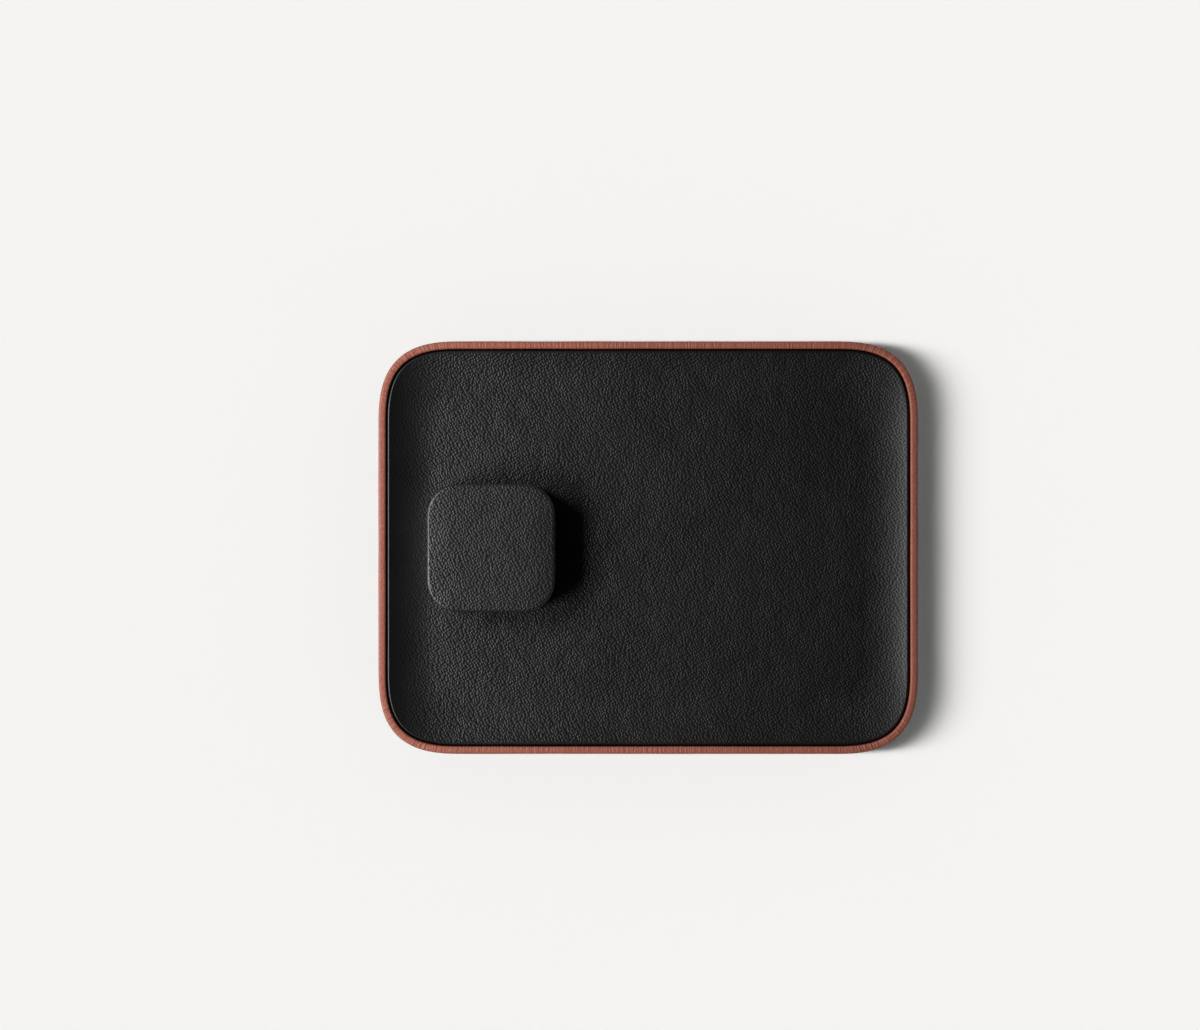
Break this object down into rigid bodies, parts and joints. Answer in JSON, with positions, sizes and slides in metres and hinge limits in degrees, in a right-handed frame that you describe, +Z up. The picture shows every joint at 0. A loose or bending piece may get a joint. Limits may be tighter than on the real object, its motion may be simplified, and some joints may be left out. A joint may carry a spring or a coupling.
{
  "type": "valet tray",
  "caption": "Shallow rounded-rectangle valet tray with a leather-wrapped rim and a dished leather lining, holding a small lidded box for pocket items.",
  "frame": {"origin": "on the table under the middle of the tray's outline", "axes": "+X along the tray's length, away from the box; +Y across its width; +Z up"},
  "size_m": [0.3, 0.2294, 0.0412],
  "materials": {
    "tan_leather": "pebbled full-grain leather, soft sheen",
    "black_leather": "pebbled full-grain leather, soft sheen",
    "black_suede": "short nap, matt",
    "black_felt": "pressed felt, matt",
    "core_wood": "sanded fibreboard, unseen",
    "dyed_board": "black-dyed fibreboard, dark at the bottom of the groove",
    "grey_board": "grey bookbinder's board",
    "dark_foam": "thin foam sheet, unseen"
  },
  "bodies": {
    "tray": {"base_cover": "black_suede", "base_infill_card": "grey_board", "base_board": "dyed_board", "wall_frame": "dyed_board", "outer_wrap": "tan_leather", "insert_core": "core_wood", "tray_lining": "black_leather"},
    "box": {"box_foot_pad": "black_felt", "box_infill_card": "grey_board", "box_base_board": "core_wood", "box_wall": "core_wood", "box_wrap": "black_leather", "box_neck": "grey_board", "box_lining": "black_suede"},
    "lid": {"lid_wrap": "black_leather", "lid_padding": "dark_foam", "lid_board": "core_wood", "lid_wall": "core_wood", "lid_lining": "black_suede"}
  },
  "joints": [
    {"name": "box_lift", "type": "slide", "parent": "tray", "child": "box", "axis": [0, 0, 1], "range_m": [0, 0.05]},
    {"name": "lid_lift", "type": "slide", "parent": "box", "child": "lid", "axis": [0, 0, 1], "range_m": [0, 0.03]}
  ]
}
